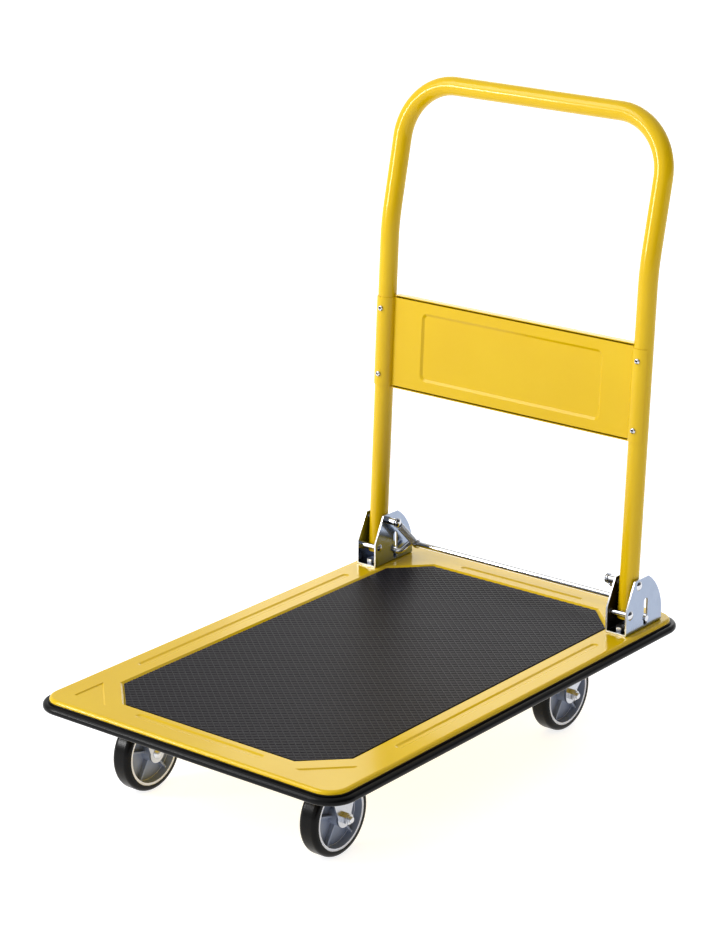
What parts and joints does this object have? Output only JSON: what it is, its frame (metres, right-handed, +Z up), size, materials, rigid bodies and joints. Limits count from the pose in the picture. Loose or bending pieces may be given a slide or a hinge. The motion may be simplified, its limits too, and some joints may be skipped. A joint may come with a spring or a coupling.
{
  "type": "folding platform cart",
  "caption": "Flat-deck hand cart with a fold-down push handle, foot latch bar, rigid front casters and swivel rear casters.",
  "frame": {"origin": "on the floor under the middle of the deck", "axes": "+X across the deck, +Y towards the handle end, +Z up; the front end is at -Y"},
  "size_m": [0.4806, 0.7396, 0.8107],
  "materials": {
    "deck_paint": "gloss yellow powder coat",
    "handle_paint": "gloss yellow powder coat",
    "mat_vinyl": "embossed charcoal vinyl",
    "bumper_rubber": "satin black",
    "channel_paint": "yellow powder coat",
    "bracket_zinc": "bright zinc plate",
    "plug_plastic": "moulded black",
    "bright_chrome": "polished",
    "spring_steel": "drawn wire",
    "fork_zinc": "bright zinc plate",
    "ball_steel": "polished balls",
    "tyre_rubber": "satin black rubber",
    "wheel_plastic": "moulded grey",
    "plated_hardware": "bright zinc plate"
  },
  "bodies": {
    "deck": {"axle_bolt_front_left": "plated_hardware", "axle_bolt_front_right": "plated_hardware", "axle_nut_front_left": "plated_hardware", "axle_nut_front_right": "plated_hardware", "axle_sleeve_front_left": "plated_hardware", "axle_sleeve_front_right": "plated_hardware", "bracket_bolts": "plated_hardware", "bracket_nuts": "plated_hardware", "caster_bolts": "plated_hardware", "caster_nuts": "plated_hardware", "caster_plate_left": "fork_zinc", "caster_plate_right": "fork_zinc", "cross_channel_front": "channel_paint", "cross_channel_rear": "channel_paint", "deck_mat": "mat_vinyl", "deck_plate": "deck_paint", "edge_bumper": "bumper_rubber", "hinge_bracket_left": "bracket_zinc", "hinge_bracket_right": "bracket_zinc", "kingpin_left": "fork_zinc", "kingpin_right": "fork_zinc", "latch_spring_left": "spring_steel", "latch_spring_right": "spring_steel", "pivot_pin_left": "bright_chrome", "pivot_pin_right": "bright_chrome", "rigid_fork_left": "fork_zinc", "rigid_fork_right": "fork_zinc", "stop_pin_left": "bright_chrome", "stop_pin_right": "bright_chrome"},
    "handle": {"end_plug_left": "plug_plastic", "end_plug_right": "plug_plastic", "handle_tube": "handle_paint", "panel_front": "handle_paint", "panel_rear": "handle_paint", "panel_screws": "plated_hardware"},
    "foot_bar": {"bar_collars": "bright_chrome", "foot_bar": "bright_chrome"},
    "swivel_left": {"axle_bolt_rear_left": "plated_hardware", "axle_nut_rear_left": "plated_hardware", "axle_sleeve_rear_left": "plated_hardware", "ball_ring_left": "ball_steel", "swivel_fork_left": "fork_zinc"},
    "swivel_right": {"axle_bolt_rear_right": "plated_hardware", "axle_nut_rear_right": "plated_hardware", "axle_sleeve_rear_right": "plated_hardware", "ball_ring_right": "ball_steel", "swivel_fork_right": "fork_zinc"},
    "wheel_front_left": {"tyre_front_left": "tyre_rubber", "wheel_centre_front_left": "wheel_plastic"},
    "wheel_front_right": {"tyre_front_right": "tyre_rubber", "wheel_centre_front_right": "wheel_plastic"},
    "wheel_rear_left": {"tyre_rear_left": "tyre_rubber", "wheel_centre_rear_left": "wheel_plastic"},
    "wheel_rear_right": {"tyre_rear_right": "tyre_rubber", "wheel_centre_rear_right": "wheel_plastic"}
  },
  "joints": [
    {"name": "handle_fold", "type": "hinge", "parent": "deck", "child": "handle", "pos_m": [0, 0.2801, 0.1971], "axis": [1, 0, 0], "range_deg": [0, 99]},
    {"name": "foot_bar_press", "type": "slide", "parent": "deck", "child": "foot_bar", "axis": [0, 0, -1], "range_m": [0, 0.006], "stiffness_N_per_m": 1600, "springref_m": -0.008, "deforming": ["latch_spring_left", "latch_spring_right"]},
    {"name": "caster_swivel_left", "type": "hinge", "parent": "deck", "child": "swivel_left", "pos_m": [-0.145, 0.253, 0.11], "axis": [0, 0, 1], "continuous": true},
    {"name": "caster_swivel_right", "type": "hinge", "parent": "deck", "child": "swivel_right", "pos_m": [0.145, 0.253, 0.11], "axis": [0, 0, 1], "continuous": true},
    {"name": "wheel_spin_front_left", "type": "hinge", "parent": "deck", "child": "wheel_front_left", "pos_m": [-0.149, -0.26, 0.051], "axis": [1, 0, 0], "continuous": true},
    {"name": "wheel_spin_front_right", "type": "hinge", "parent": "deck", "child": "wheel_front_right", "pos_m": [0.149, -0.26, 0.051], "axis": [1, 0, 0], "continuous": true},
    {"name": "wheel_spin_rear_left", "type": "hinge", "parent": "swivel_left", "child": "wheel_rear_left", "pos_m": [-0.145, 0.218, 0.051], "axis": [1, 0, 0], "continuous": true},
    {"name": "wheel_spin_rear_right", "type": "hinge", "parent": "swivel_right", "child": "wheel_rear_right", "pos_m": [0.145, 0.218, 0.051], "axis": [1, 0, 0], "continuous": true}
  ]
}
